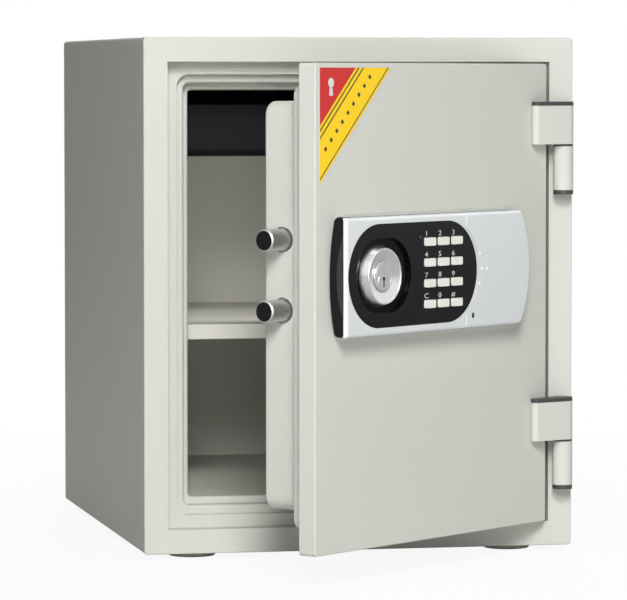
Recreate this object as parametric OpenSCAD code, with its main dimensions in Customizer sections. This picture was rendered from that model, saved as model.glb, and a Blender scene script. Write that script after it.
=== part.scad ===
// Small fire safe with its door ajar and its bolts thrown.
// The cabinet stands on four feet, its front face looks along -Y, and +X is the hinge side.
// Every door piece is drawn in its closed place and is then turned about the hinge axis.

/* [Cabinet] */
// Width of the cabinet
body_w = 352; // [320:1:420]
// Height of the cabinet without its feet
body_h = 412; // [390:1:500]
// Depth of the cabinet
body_d = 430; // [360:1:520]
// Thickness of the steel skin
skin_t = 1.5; // [1:0.1:2]
// Outside radius of the bends in the skin
bend_r = 3; // [2:0.5:4]
// Width of the front border round the door
border_w = 19.5; // [17:0.5:24]
// Thickness of the rear wall with its filling
rear_wall = 43; // [30:1:60]
// Radius of the edges round the front face
front_edge_r = 1.2; // [0.8:0.1:1.3]
// Distance of the back cover inside the cabinet's rear edge
back_in = 3; // [2.5:0.5:6]
// Depth of the back cover's folded edge
back_flange = 12; // [8:1:20]
// Distance of the back screws from the cabinet's sides
back_screw_in = 16; // [12:1:24]
// Radius of a back screw
back_screw_r = 2; // [1.5:0.1:2.5]
// Length of a back screw behind the cover
back_screw_l = 12; // [8:1:20]
// Height of a back screw's head
screw_head_t = 1.4; // [1:0.1:2]
// Width of the slots in a back screw's head
screw_slot = 0.9; // [0.6:0.1:1.2]

/* [Door frame] */
// Width of the outer seat that the door plate closes on
seat1_w = 10; // [8:0.5:14]
// Depth of the step behind the outer seat
step2_d = 8; // [6:0.5:9]
// Width of the middle seat
seat2_w = 7; // [6:0.5:9]
// Depth of the step behind the middle seat
step3_d = 12.5; // [11.5:0.5:14]
// Width of the inner seat, up to the opening
seat3_w = 5.5; // [4:0.5:7]
// Depth of the lip behind the inner seat
lip_d = 4.5; // [3:0.5:4.5]
// Corner radius of the step behind the outer seat
step2_r = 9.5; // [6:0.5:12]
// Corner radius of the opening
opening_r = 3; // [3:0.5:6]
// Corner radius of the step behind the middle seat
step3_r = 5; // [3:0.5:8]
// Radius of the rounded edge of the middle seat
edge_r = 2.6; // [1:0.2:2.8]
// Radius of the rounded edge of the opening
mouth_edge_r = 2.2; // [1:0.1:2.2]
// Thickness of the frame
frame_t = 3; // [2.9:0.1:4]
// Wall of the steel box that takes the thrown bolts
strike_wall = 3; // [2:0.5:4]
// Room behind the end of a thrown bolt
strike_room = 2; // [1:0.5:4]

/* [Interior] */
// Thickness of the inner box
liner_t = 1.2; // [0.8:0.1:1.6]
// Width of the flange round the mouth of the inner box
liner_flange = 12; // [8:1:16]
// Height of the shelf's upper face above the cabinet's underside
shelf_z = 179; // [150:1:220]
// Height of the shelf's folded front lip
shelf_lip = 12.3; // [8:0.1:20]
// Thickness of the shelf's sheet
shelf_t = 1.2; // [1:0.1:2]
// Depth of the shelf's folded hem
shelf_hem = 7; // [4:0.5:10]
// Gap between the shelf and the side walls
shelf_gap = 0.5; // [0.3:0.1:2]
// Gap between the shelf and the rear wall
shelf_rear_gap = 2; // [0.5:0.5:6]
// Width of the legs of the shelf's supports
support_leg = 10; // [6:0.5:14]
// Distance of the shelf and drawer fronts behind the cabinet's front
fittings_y = 73; // [72.5:0.5:80]
// Height of the drawer's front
drawer_front_h = 42; // [36:1:46]
// Gap between the drawer's front and the top of the opening
drawer_top_gap = 12.2; // [10:0.1:20]
// Depth of the drawer from front to back
drawer_l = 270; // [200:1:280]
// Wall thickness of the drawer
drawer_t = 2.4; // [2:0.1:3]
// Radius of the drawer's lower front edge
drawer_edge_r = 6; // [4:0.5:8]
// Distance of the drawer's sides below the top of its front
drawer_side_drop = 6; // [4:0.5:10]
// Gap between the drawer's sides and the side walls
drawer_side_gap = 7; // [6:0.5:9]
// Gap between the drawer's front and the side walls
drawer_front_gap = 2.5; // [2:0.1:3]
// Gap between the drawer's tall back wall and the ceiling
drawer_back_gap = 2; // [1.5:0.1:4]
// Thickness of the drawer's runners
runner_t = 1.2; // [1:0.1:1.5]
// Width of the legs of the drawer's runners
runner_leg = 5.5; // [5:0.1:5.8]

/* [Door] */
// Angle that the door stands open at
door_open = 41; // [38:1:44]
// Gap all round the closed door plate
door_gap = 1.5; // [1.5:0.1:2.5]
// Thickness of the door plate
plate_t = 15; // [14:0.5:16]
// Corner radius of the door plate
plate_r = 2.4; // [2.2:0.1:4]
// Edge radius of the door plate
plate_edge_r = 1; // [0.6:0.1:1]
// Thickness of the door's sheets
plate_skin = 2; // [1.5:0.1:2.5]
// Gap between the door plate and its seat
seat_gap = 1; // [0.8:0.1:1.5]
// Distance from the plate's edge to the middle step of the door
step_in = 17; // [16:0.5:20]
// Thickness of the door's middle step
step_t = 18.6; // [17:0.2:19.4]
// Corner radius of the middle step
step_r = 8; // [4:0.5:12]
// Edge radius of the middle step
step_edge_r = 1.5; // [1:0.1:1.9]
// Distance from the plate's edge to the seal
seal_in = 3; // [2:0.5:5]
// Width of the seal
seal_w = 6; // [4:0.5:8]
// Thickness of the seal
seal_t = 0.7; // [0.4:0.1:0.7]
// Distance from the middle step to the inner pan
pan_in = 12; // [11:0.5:16]
// Depth of the inner pan
pan_d = 36.9; // [36:0.1:40]
// Corner radius of the inner pan
pan_r = 11; // [6:0.5:16]
// Edge radius of the inner pan
pan_edge = 3; // [1:0.5:4]
// Wall thickness of the inner pan
pan_t = 2; // [1.5:0.1:2.5]
// Distance of the pan's posts from its sides
pan_post_in = 13; // [11:0.5:18]
// Radius of the pan's posts
pan_post_r = 5; // [4:0.5:6]
// Radius of the pan's screws
pan_screw_r = 2; // [1.5:0.1:2.5]
// Height of the pan's screw heads
pan_head_t = 1.2; // [0.8:0.1:1.4]
// Radius of the holes for the spindle and the wires
spindle_hole_r = 6; // [5.5:0.1:7]
// Distance of the wire hole from the cabinet's side
wire_x = 112; // [110:1:116]

/* [Hinges] */
// Distance of the hinge axis from the cabinet's side
hinge_in = 10; // [9.5:0.5:12]
// Distance of the hinge axis in front of the cabinet
hinge_front = 9; // [9:0.5:11]
// Radius of the hinge barrels
barrel_r = 8; // [7:0.5:8]
// Radius of the hinge pins
pin_r = 3; // [2.5:0.1:4]
// Height of a door leaf
leaf_h = 31; // [26:1:36]
// Height of a fixed barrel
barrel_h = 35.3; // [30:1:38]
// Length of a door leaf from the hinge axis
leaf_l = 35; // [31:1:40]
// Radius of the rounded end of a door leaf
leaf_end_r = 4; // [3:0.5:5]
// Overlap of a door leaf on the door plate's edge
leaf_heel = 2; // [1:0.5:5]
// Width of the web behind a fixed barrel
hinge_web = 10; // [6:0.5:12]
// Thickness of the cap on a door leaf
top_cap_t = 3.2; // [2:0.1:4]
// Thickness of the cap under a fixed barrel
bottom_cap_t = 3.5; // [2.5:0.1:4]
// Thickness of the washer between leaf and barrel
washer_t = 1.6; // [1:0.1:2]
// Height of the lower door leaf above the cabinet's underside
low_leaf_z = 87.5; // [80:0.5:100]
// Distance between the two hinges
hinge_pitch = 238.8; // [220:0.1:250]

/* [Bolts] */
// Radius of a bolt
bolt_r = 8.5; // [7:0.1:9]
// Distance between the two bolts
bolt_pitch = 54; // [50:1:60]
// Reach of a thrown bolt beyond the pan
bolt_out = 23; // [22:0.5:24]
// Clearance round a bolt in the pan and in the cabinet
bolt_hole_gap = 1.4; // [1:0.1:1.5]
// Distance of the bolts behind the cabinet's front
bolt_y = 53; // [52.5:0.1:54]
// Radius of the crank that draws the bolts
crank_r = 16; // [14:0.5:16.5]
// Radius of the crank pin
crank_pin_r = 3; // [2.5:0.1:3.5]
// Radius of the crank's end round its pin
crank_end_r = 5; // [4.5:0.1:5.5]
// Radius of the crank's hub
crank_hub_r = 8; // [7:0.5:9]
// Thickness of the crank
crank_t = 4; // [3:0.1:4.2]
// Gap between the crank and the plate behind it
crank_gap = 0.5; // [0.3:0.1:0.8]
// Play of the crank pin and the stud in their slots
pin_play = 1; // [0.9:0.1:1.2]
// Radius of the spindle
spindle_r = 4; // [3.5:0.1:4.5]
// Chamfer on the end of a bolt
bolt_chamfer = 1; // [0.5:0.1:2]
// Depth of the flat on a bolt
bolt_flat = 1; // [0.5:0.1:1.2]
// Width of the bar that joins the bolts
bar_l = 17; // [16:0.5:19]
// Corner radius of the bar that joins the bolts
bar_corner_r = 2; // [0.5:0.5:2]
// Thickness of the bar that joins the bolts
bar_t = 3.5; // [3:0.1:3.6]
// Length of the bar beyond the bolts' middles
bar_end = 8; // [6:0.5:10]
// Thickness of the plate that carries the bolt work
lock_plate_t = 2.4; // [2:0.1:2.5]
// Margin of the plate round the bolt work
lock_plate_margin = 6; // [4:0.5:8]
// Corner radius of the plate
lock_plate_r = 4; // [2:0.5:6]
// Length of the guide of the bolts
guide_l = 10; // [8:0.5:11]
// Wall of the guide round the bolts
guide_wall = 3; // [2:0.5:4]
// Radius of the stud that guides the bar
stud_r = 3; // [2.5:0.1:3.5]
// Width of the rim of the stud's head
stud_head = 2; // [1.5:0.5:3]
// Gap between the swing of the crank and the stud's middle
stud_gap = 4; // [3.5:0.5:6]
// Distance of the bar's tab below the lock's axis
tab_drop = 16; // [14.5:0.5:18]
// Height of the bar's tab above the lock's axis
tab_rise = 7; // [6:0.5:7]
// Gap on either side of the plunger in the bar's notch
notch_play = 1; // [0.5:0.1:1.5]
// Width of the bar beyond the plunger's notch
tab_end = 6; // [4:0.5:8]
// Radius of a rivet
rivet_r = 2.5; // [2:0.1:3]
// Length of a rivet in its bolt
rivet_l = 8; // [5:0.5:10]
// Width of the rim of a rivet's head
rivet_head = 1.5; // [1:0.1:2]
// Height of a rivet's head
rivet_head_t = 1; // [0.5:0.1:1]
// Radius of the solenoid's plunger
plunger_r = 3.5; // [3:0.1:4]
// Travel of the solenoid's plunger
plunger_travel = 6; // [4:0.5:7]
// Gap at either end of the drawn plunger
plunger_gap = 1; // [0.5:0.1:2]
// Distance of the solenoid's bracket below the bar's tab
bracket_drop = 6; // [5:0.5:10]
// Thickness of the solenoid's bracket
bracket_t = 1.5; // [1:0.1:2]
// Width of the bracket beyond the coil, and thickness of the coil's floor
coil_margin = 2; // [1:0.5:3]
// Length of the solenoid's bracket
coil_l = 28; // [24:1:34]

/* [Lock panel] */
// Height of the lock's axis above the cabinet's underside
lock_z = 230; // [215:1:245]
// Distance from the door plate's edge to the panel
panel_in = 15.5; // [12:0.5:20]
// Length of the panel
panel_l = 247; // [240:1:255]
// Height of the silver cover
panel_h = 90; // [88:1:94]
// Height of the panel's base with its two rails
base_h = 94; // [92:1:98]
// Thickness of the panel
panel_t = 15.5; // [15:0.5:18]
// Height of the two rails
rail_t = 11; // [9:0.5:12]
// Thickness of the panel's base
base_t = 2; // [1.5:0.1:2]
// Wall thickness of the silver covers
cover_t = 1.6; // [1.4:0.1:2]
// Radius of the long edges of the silver covers
cover_edge_r = 2.5; // [2.2:0.1:3.5]
// Radius of the silver cover's left edge
cover_end_r = 3; // [2:0.1:3]
// Radius of the panel's curved right end
panel_end_r = 87; // [80:1:120]
// Distance of the silver cover's left edge from the panel's left end
cover_in = 3; // [2:0.1:3.4]
// Bulge of the black cap on the panel's left end
end_cap_bulge = 6.4; // [4:0.1:9]
// Height of the black cap at its front edge
end_cap_t = 12; // [9:0.1:12.2]
// Height of the black cap below its bevel
end_cap_bevel = 8.5; // [7:0.5:9]
// Radius of the round upper and lower end of the black cap
end_cap_r = 3; // [2:0.5:4]
// Distance of the panel's base behind the black cap's face
base_in = 3; // [1:0.1:3.5]
// Radius of the black inlay's round ends
inlay_r = 39.5; // [38.5:0.5:40]
// Silver margin left of the inlay
inlay_in = 5.3; // [5:0.1:7]
// Distance between the centres of the inlay's round ends
inlay_pitch = 89.8; // [86:0.2:94]
// Thickness of the inlay
inlay_t = 3; // [2.8:0.1:3.2]
// Width of the inlay's lip behind the cover
inlay_lip = 0.5; // [0.3:0.1:0.6]
// Width of the silver rim right of the inlay
cover_rim = 1.7; // [1.4:0.1:2]
// Gap between the two silver covers
seam_gap = 0.6; // [0.3:0.1:0.8]
// Radius of the posts that carry the circuit board
board_post_r = 2.5; // [2:0.1:3]
// Height of the posts that carry the circuit board
board_post = 2; // [1.5:0.1:2.2]
// Thickness of the circuit board
board_t = 1.6; // [1:0.1:1.8]
// Height of a switch dome on the circuit board
dome_h = 2.2; // [1.5:0.1:2.3]
// Radius of a switch dome
dome_r = 2.5; // [2:0.1:3]
// Distance of the board's left edge from the cabinet's side
board_x0 = 119; // [117:1:122]
// Distance of the board's right edge from the cabinet's side
board_x1 = 211; // [205:1:213]
// Half the height of the circuit board
board_half = 36; // [33:0.5:38]
// Radius of a battery
battery_r = 5.25; // [5:0.05:5.4]
// Length of a battery
battery_l = 44.5; // [43:0.5:45]
// Length of a battery's tip
battery_tip = 1; // [0.8:0.1:1.5]
// Distance between two batteries
battery_pitch = 11.6; // [11.4:0.1:12]
// Distance of the battery tray's left end from the cabinet's side
tray_x0 = 218; // [216:0.5:222]
// Thickness of the battery tray's end walls
tray_wall = 3; // [2:0.5:4]
// Height of the battery tray's channels
tray_t = 6; // [5:0.5:7]
// Height of the battery tray's end walls
tray_wall_h = 11.5; // [10:0.5:12.5]
// Distance from the panel's left end to the battery cover
battery_seam = 159.6; // [156:0.2:164]
// Distance of the pry hole from the seam
pry_x = 9.5; // [8:0.5:12]
// Distance of the pry hole below the lock's axis
pry_drop = 35.6; // [34:0.1:37]
// Height of the pry hole's straight middle
pry_h = 1; // [0.5:0.1:3]
// Radius of the pry hole's round ends
pry_r = 1.8; // [1:0.1:2]
// Distance of the status lamp right of the lock's axis
lamp_dx = 52.5; // [50:0.5:54]
// Height of the status lamp above the lock's axis
lamp_dz = 27.4; // [25:0.1:29]
// Radius of the status lamp
lamp_r = 1.5; // [1:0.1:2]

/* [Knob] */
// Radius of the knob at its base
knob_r = 23.6; // [22:0.2:25]
// Radius of the knob's face
knob_face_r = 21.4; // [20:0.2:22]
// Height of the knob
knob_h = 8.3; // [7:0.1:9]
// Depth of the knob's base below the panel's face
knob_sunk = 2.6; // [2:0.1:2.8]
// Depth of the knob's dished face
knob_dish = 2.7; // [1.5:0.1:3.2]
// Thickness of the knob's floor
knob_floor = 2; // [1.5:0.1:2.5]
// Height of the upright foot of the knob's side
knob_foot = 1; // [0.5:0.1:2]
// Radius of the knob's rounded rim
knob_rim_r = 0.8; // [0.4:0.1:1.2]
// Width of the knob's flat round the lock cylinder
knob_flat = 1.2; // [0.6:0.1:3]
// Radius of the ring round the knob
collar_r = 29.5; // [28:0.5:31]
// Length by which the ring is drawn out towards the keys
well_l = 12.5; // [8:0.5:13]
// Width of the flat rim of the ring round the knob
collar_rim = 0.9; // [0.5:0.1:1.5]
// Width of the ring's lip behind the inlay
collar_lip = 1.6; // [1:0.1:2.5]
// Thickness of the ring's lip
collar_t = 1.2; // [1:0.1:1.5]
// Radius of the lock cylinder's housing
cylinder_r = 11.6; // [10.5:0.1:12]
// Height of the lock cylinder's face above the knob's foot
cylinder_h = 6.6; // [5.5:0.1:7.5]
// Chamfer on the lock cylinder's edge
cylinder_chamfer = 0.5; // [0.3:0.1:0.8]
// Distance of the groove from the lock cylinder's edge
groove_in = 1.4; // [1:0.1:1.6]
// Width of the groove in the lock cylinder's face
groove_w = 0.6; // [0.4:0.1:0.8]
// Radius of the lock cylinder's plug
plug_r = 7; // [6:0.1:7]
// Height of the plug above the lock cylinder's face
plug_proud = 0.3; // [0.1:0.1:0.6]
// Thickness of the floor behind the plug
plug_floor = 1; // [0.6:0.1:1.5]
// Radius of the keyhole's round end
keyhole_r = 1.7; // [1.2:0.1:2.2]
// Height of the keyhole's round end above the plug's middle
keyhole_rise = 2; // [1:0.1:3]
// Width of the keyhole's slot
keyhole_w = 1.6; // [1:0.1:2]
// Length of the keyhole's slot below its round end
keyhole_l = 6.2; // [4:0.1:7]
// Distance of the plug below the lock's axis
plug_drop = 4; // [3:0.1:4]

/* [Keys] */
// Distance between the columns of keys
key_pitch_x = 17.9; // [17.5:0.1:18.5]
// Distance between the rows of keys
key_pitch_z = 16; // [14:0.1:17]
// Width of a key
key_w = 13.5; // [12:0.1:14]
// Height of a key
key_h = 6.3; // [4.5:0.1:6.5]
// Height of a key above the inlay
key_proud = 1.6; // [1.2:0.1:2]
// Travel of a key
key_travel = 1.2; // [0.8:0.1:1.2]
// Distance of the middle column of keys left of the inlay's right middle
key_shift = 6.7; // [5:0.1:9]
// Corner radius of a key
key_corner_r = 1.3; // [0.5:0.1:1.4]
// Gap round a key
key_gap = 0.25; // [0.2:0.05:0.4]
// Width of a key's flange
key_flange = 1; // [0.8:0.1:1.4]
// Thickness of a key's flange
key_flange_t = 1.1; // [0.8:0.1:1.3]
// Radius of a key's stem
key_stem_r = 2; // [1.5:0.1:2.5]

/* [Feet] */
// Radius of a foot
foot_r = 19; // [15:0.5:24]
// Height of a foot
foot_h = 5; // [4:0.5:10]
// Chamfer on a foot's lower edge
foot_chamfer = 1; // [0.5:0.5:2]
// Distance of a foot's centre from the cabinet's side
foot_in_x = 45; // [30:1:60]
// Distance of a foot's centre from the front and the back
foot_in_y = 37; // [30:1:60]
// Radius of a foot's screw
foot_screw_r = 2; // [1.5:0.1:2.5]
// Length of a foot's screw inside the cabinet
foot_screw_l = 12; // [8:1:20]
// Radius of the recess in a foot
foot_recess_r = 6; // [5:0.5:8]
// Thickness of a foot above its recess
foot_floor = 2.2; // [1.8:0.1:2.4]
// Height of a foot screw's head
foot_head_t = 1.4; // [1:0.1:1.5]

/* [Hidden] */
// Keys of the lock panel, row by row
KEYS = ["key_1", "key_2", "key_3", "key_4", "key_5", "key_6", "key_7", "key_8", "key_9",
  "key_clear", "key_0", "key_hash"];
$fn = 64;
// Running clearance of pins, shafts and bolts
fit = 0.05;
// Clearance of pressed and screwed pieces
snug = 0.02;
// Clearance between pieces that pass each other
free = 0.3;
// How far a cut runs past what it cuts
over = 1;

// Insets from the cabinet's sides, and depths behind its front
plate_inset = border_w + door_gap;
step_inset = plate_inset + step_in;
pan_inset = step_inset + pan_in;
seat2_inset = border_w + seat1_w;
seat3_inset = seat2_inset + seat2_w;
mouth_inset = seat3_inset + seat3_w;
seat1_y = plate_t + seat_gap;
seat2_y = seat1_y + step2_d;
seat3_y = seat2_y + step3_d;
frame_y = seat3_y + lip_d;
step_y = plate_t + step_t;
pan_y = step_y + pan_d;
liner_y = body_d - rear_wall;
back_y = body_d - back_in - skin_t;

// Hinge axis, and how far the open door reaches in front of the cabinet
hinge_x = body_w - hinge_in;
hinge_y = -hinge_front;
leaf_zs = [low_leaf_z, low_leaf_z + hinge_pitch];
door_reach = hinge_front * (1 - cos(door_open)) + (hinge_x - plate_inset) * sin(door_open);

// Shelf and drawer
shelf_back = liner_y - liner_t - shelf_rear_gap;
drawer_z1 = body_h - mouth_inset - drawer_top_gap;
drawer_z0 = drawer_z1 - drawer_front_h;
drawer_side_z1 = drawer_z1 - drawer_side_drop;

// Lock panel: distances from the door's face are counted outwards
panel_x0 = plate_inset + panel_in;
panel_x1 = panel_x0 + panel_l;
cover_x0 = panel_x0 + cover_in;
knob_x = panel_x0 + inlay_in + inlay_r;
inlay_x2 = knob_x + inlay_pitch;
seam_x = panel_x0 + battery_seam;
cover_half = panel_h / 2;
end_cap_arc_r = (pow(cover_half, 2) + pow(end_cap_bulge, 2)) / (2 * end_cap_bulge);
end_cap_x1 = knob_x - collar_r - collar_lip - free;
base_half = base_h / 2;
cover_inside = panel_t - cover_t;
inlay_back = panel_t - inlay_t;
knob_t0 = panel_t - knob_sunk;
pocket_t = knob_t0 + knob_floor;
board_t0 = base_t + board_post;
dome_t = board_t0 + board_t + dome_h;
lamp_x = knob_x + lamp_dx;
lamp_z = lock_z + lamp_dz;
key_x0 = inlay_x2 - key_shift - key_pitch_x;
key_z0 = lock_z + 1.5 * key_pitch_z;

// Batteries
tray_half = 2 * battery_pitch + tray_wall / 2;
battery_x0 = tray_x0 + tray_wall + free;
battery_x1 = battery_x0 + battery_l;
battery_t = base_t + free + battery_r;

// Bolt work behind the door's middle step
lock_y = step_y + lock_plate_t;
crank_y = lock_y + crank_gap;
crank_swing = 45;
bolt_zs = [lock_z - bolt_pitch / 2, lock_z + bolt_pitch / 2];
bolt_x0 = pan_inset - bolt_out;
bolt_hole_r = bolt_r + bolt_hole_gap;
guide_x0 = pan_inset + pan_t + free;
guide_x1 = guide_x0 + guide_l;
bar_x0 = guide_x1 + 2 * free;
bar_y1 = bolt_y - bolt_r + bolt_flat;
bar_y0 = bar_y1 - bar_t;
bar_half = bolt_pitch / 2 + bar_end;
pin_x = knob_x - crank_r * sin(crank_swing);
bolt_travel = 2 * crank_r * sin(crank_swing);
stud_x = knob_x + crank_r + crank_end_r + stud_gap;
tab_z0 = lock_z - tab_drop;
plunger_y = (bar_y0 + bar_y1) / 2;
coil_r = plunger_y - lock_y - bracket_t - fit;
plunger_x = bar_x0 + bar_l + bolt_travel + plunger_gap + coil_margin + coil_r;
bracket_z1 = tab_z0 - bracket_drop;
bracket_z0 = bracket_z1 - coil_l;

// Colours
paint = "#d6d6cd";
steel = "#b9bcbf";
dark = "#3a3b3d";
black = "#1d1e20";
silver = "#ccd1d3";
filling = "#a8a49a";

// Places of the whole: the origin lies under the middle of the safe with its door ajar
module place() translate([-body_w / 2, (door_reach - body_d) / 2, foot_h]) children();
module on_door() place()
  translate([hinge_x, hinge_y, 0]) rotate(door_open) translate([-hinge_x, -hinge_y, 0]) children();
module both_sides() {
  children();
  translate([body_w, 0, 0]) mirror([1, 0, 0]) children();
}

// Extrusions of flat shapes along one axis
module along_x(x0, x1) translate([x0, 0, 0]) rotate([90, 0, 90]) linear_extrude(x1 - x0) children();
module along_y(y0, y1) translate([0, y1, 0]) rotate([90, 0, 0]) linear_extrude(y1 - y0) children();
module along_z(z0, z1) translate([0, 0, z0]) linear_extrude(z1 - z0) children();
module rod_x(y, z, r, x0, x1) along_x(x0, x1) translate([y, z]) circle(r);
module rod_y(x, z, r, y0, y1) along_y(y0, y1) translate([x, z]) circle(r);
module rod_z(x, y, r, z0, z1) along_z(z0, z1) translate([x, y]) circle(r);
// A turned piece whose axis points out of the door's face
module turned(x, z) translate([x, 0, z]) rotate([90, 0, 0]) rotate_extrude() children();

// Rectangle with round corners, or sharp ones where r is 0
module round_rect(x0, z0, x1, z1, r) {
  if (r > 0) {
    translate([x0 + r, z0]) square([x1 - x0 - 2 * r, z1 - z0]);
    translate([x0, z0 + r]) square([x1 - x0, z1 - z0 - 2 * r]);
    for (x = [x0 + r, x1 - r], z = [z0 + r, z1 - r]) translate([x, z]) circle(r);
  } else {
    translate([x0, z0]) square([x1 - x0, z1 - z0]);
  }
}
module inset_rect(inset, r) round_rect(inset, inset, body_w - inset, body_h - inset, r);
module inset_block(inset, r, y0, y1) along_y(y0, y1) inset_rect(inset, r);
module ring(outer, outer_r, inner, inner_r, y0, y1) along_y(y0, y1) difference() {
  inset_rect(outer, outer_r);
  inset_rect(inner, inner_r);
}

// Round rod that follows a rectangle with round corners
module rod_ring(inset, corner, rod, y) {
  near = inset + corner;
  far_x = body_w - near;
  far_z = body_h - near;
  for (z = [inset, body_h - inset]) rod_x(y, z, rod, near, far_x);
  for (x = [inset, body_w - inset]) rod_z(x, y, rod, near, far_z);
  for (k = [0:3]) translate([k % 3 == 0 ? far_x : near, y, k < 2 ? far_z : near])
    rotate([90, 0, 0]) rotate(90 * k) rotate_extrude(angle = 90) translate([corner, 0]) circle(rod);
}

// Block whose front or back face has rounded edges
module soft_front(inset, r, edge, y0, y1) {
  inset_block(inset, r, y0 + edge, y1);
  inset_block(inset + edge, r - edge, y0, y1);
  rod_ring(inset + edge, r - edge, edge, y0 + edge);
}
module soft_back(inset, r, edge, y0, y1) {
  inset_block(inset, r, y0, y1 - edge);
  inset_block(inset + edge, r - edge, y0, y1);
  rod_ring(inset + edge, r - edge, edge, y1 - edge);
}

// Bent strip of sheet along the middle line given by its points
module strip(points, t) {
  for (i = [0:len(points) - 2]) {
    run = points[i + 1] - points[i];
    translate(points[i]) rotate(atan2(run[1], run[0])) translate([0, -t / 2]) square([norm(run), t]);
  }
  for (i = [1:len(points) - 2]) translate(points[i]) circle(d = t);
}

// Direction of the normal at which one line touches two circles, on the left or right of their run
function touch_normal(c1, r1, c2, r2, side) =
  let (run = c2 - c1, a = atan2(run[1], run[0]) + side * acos((r1 - r2) / norm(run))) [cos(a), sin(a)];

// Cabinet

module outer_shell() color(paint) place() {
  difference() {
    soft_front(0, bend_r, front_edge_r, 0, body_d);
    inset_block(skin_t, bend_r - skin_t, skin_t, body_d + over);
    inset_block(border_w, 0, -over, skin_t + over);
    for (p = foot_places()) rod_z(p[0], p[1], foot_screw_r + fit, -over, skin_t + over);
  }
  ring(border_w - skin_t, 0, border_w, 0, 0, seat1_y);
}

module back_cover() color(paint) place() difference() {
  union() {
    inset_block(skin_t, bend_r - skin_t, back_y, back_y + skin_t);
    ring(skin_t, bend_r - skin_t, 2 * skin_t, 0, back_y - back_flange, back_y + over / 2);
  }
  for (p = back_screw_places()) rod_y(p[0], p[1], back_screw_r + fit, back_y - over, back_y + 2 * skin_t);
}

function back_screw_places() = [for (x = [back_screw_in, body_w - back_screw_in],
  z = [back_screw_in, body_h / 2, body_h - back_screw_in]) [x, z]];

module back_screws() color(steel) place() for (p = back_screw_places()) difference() {
  union() {
    rod_y(p[0], p[1], back_screw_r, back_y - back_screw_l, back_y + skin_t);
    rod_y(p[0], p[1], 2 * back_screw_r, back_y + skin_t, back_y + skin_t + screw_head_t);
  }
  translate([p[0], back_y + skin_t + screw_head_t, p[1]]) for (a = [0, 90])
    rotate([0, a, 0]) cube([2 * back_screw_r, screw_head_t, screw_slot], center = true);
}

module door_frame() color(paint) place() {
  ring(border_w - skin_t, 0, seat2_inset, step2_r, seat1_y, seat1_y + frame_t);
  ring(seat2_inset - frame_t, 0, seat2_inset, step2_r, seat1_y, seat2_y + frame_t);
  ring(seat2_inset - frame_t, 0, seat3_inset - edge_r, step3_r + edge_r, seat2_y, seat2_y + frame_t);
  rod_ring(seat3_inset - edge_r, step3_r + edge_r, edge_r, seat2_y + edge_r);
  ring(seat3_inset - frame_t, 0, seat3_inset, step3_r, seat2_y + edge_r, seat3_y + frame_t);
  ring(seat3_inset - frame_t, 0, mouth_inset - mouth_edge_r, opening_r + mouth_edge_r, seat3_y,
    seat3_y + frame_t);
  rod_ring(mouth_inset - mouth_edge_r, opening_r + mouth_edge_r, mouth_edge_r, seat3_y + mouth_edge_r);
  ring(mouth_inset - frame_t, 0, mouth_inset, opening_r, seat3_y + mouth_edge_r, frame_y);
}

module inner_liner() color(paint) place() difference() {
  union() {
    ring(mouth_inset - liner_flange, 0, mouth_inset - liner_t, opening_r + liner_t, frame_y,
      frame_y + liner_t);
    inset_block(mouth_inset - liner_t, opening_r + liner_t, frame_y, liner_y);
  }
  inset_block(mouth_inset, opening_r, frame_y - over, liner_y - liner_t);
  for (z = bolt_zs) rod_x(bolt_y, z, bolt_hole_r, 0, mouth_inset + over);
}

module strike_outline() round_rect(frame_y + liner_t, lock_z - bolt_pitch / 2 - bolt_hole_r - strike_wall,
  bolt_y + bolt_hole_r + strike_wall, lock_z + bolt_pitch / 2 + bolt_hole_r + strike_wall, 0);

module strike_box() color(steel) place() difference() {
  along_x(bolt_x0 - strike_wall - strike_room, mouth_inset - liner_t) strike_outline();
  for (z = bolt_zs) translate([bolt_x0 - strike_room, bolt_y - bolt_hole_r, z - bolt_hole_r])
    cube([mouth_inset, 2 * bolt_hole_r, 2 * bolt_hole_r]);
}

module body_filling() color(filling) place() difference() {
  union() {
    inset_block(skin_t, bend_r - skin_t, frame_y + liner_t, back_y - back_flange);
    inset_block(2 * skin_t, 0, back_y - back_flange - over, back_y);
  }
  inset_block(mouth_inset - liner_t, opening_r + liner_t, 0, liner_y);
  along_x(bolt_x0 - strike_wall - strike_room, mouth_inset) strike_outline();
  for (p = foot_places()) rod_z(p[0], p[1], foot_screw_r + snug, 0, foot_screw_l + snug);
  for (p = back_screw_places()) rod_y(p[0], p[1], back_screw_r, back_y - back_screw_l, back_y + over);
}

// Interior

module shelf() color(paint) place() {
  low = shelf_z - shelf_lip + shelf_t / 2;
  high = shelf_z - shelf_t / 2;
  front = fittings_y + shelf_t / 2;
  rear = shelf_back - shelf_t / 2;
  along_x(mouth_inset + shelf_gap, body_w - mouth_inset - shelf_gap)
    strip([[fittings_y + shelf_hem, low], [front, low], [front, high], [rear, high], [rear, low]], shelf_t);
}

module shelf_supports() color(paint) place() both_sides() {
  wall = mouth_inset + shelf_t / 2;
  seat = shelf_z - 1.5 * shelf_t;
  along_y(fittings_y + 2 * shelf_hem, shelf_back - 2 * shelf_hem)
    strip([[wall, seat - support_leg], [wall, seat], [mouth_inset + support_leg, seat]], shelf_t);
}

module drawer_runners() color(steel) place() both_sides() {
  wall = mouth_inset + runner_t / 2;
  seat = drawer_side_z1 - drawer_t - free / 2 - runner_t / 2;
  along_y(fittings_y + 2 * drawer_t, fittings_y + drawer_l)
    strip([[wall, seat + runner_leg], [wall, seat], [mouth_inset + runner_leg, seat]], runner_t);
}

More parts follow.
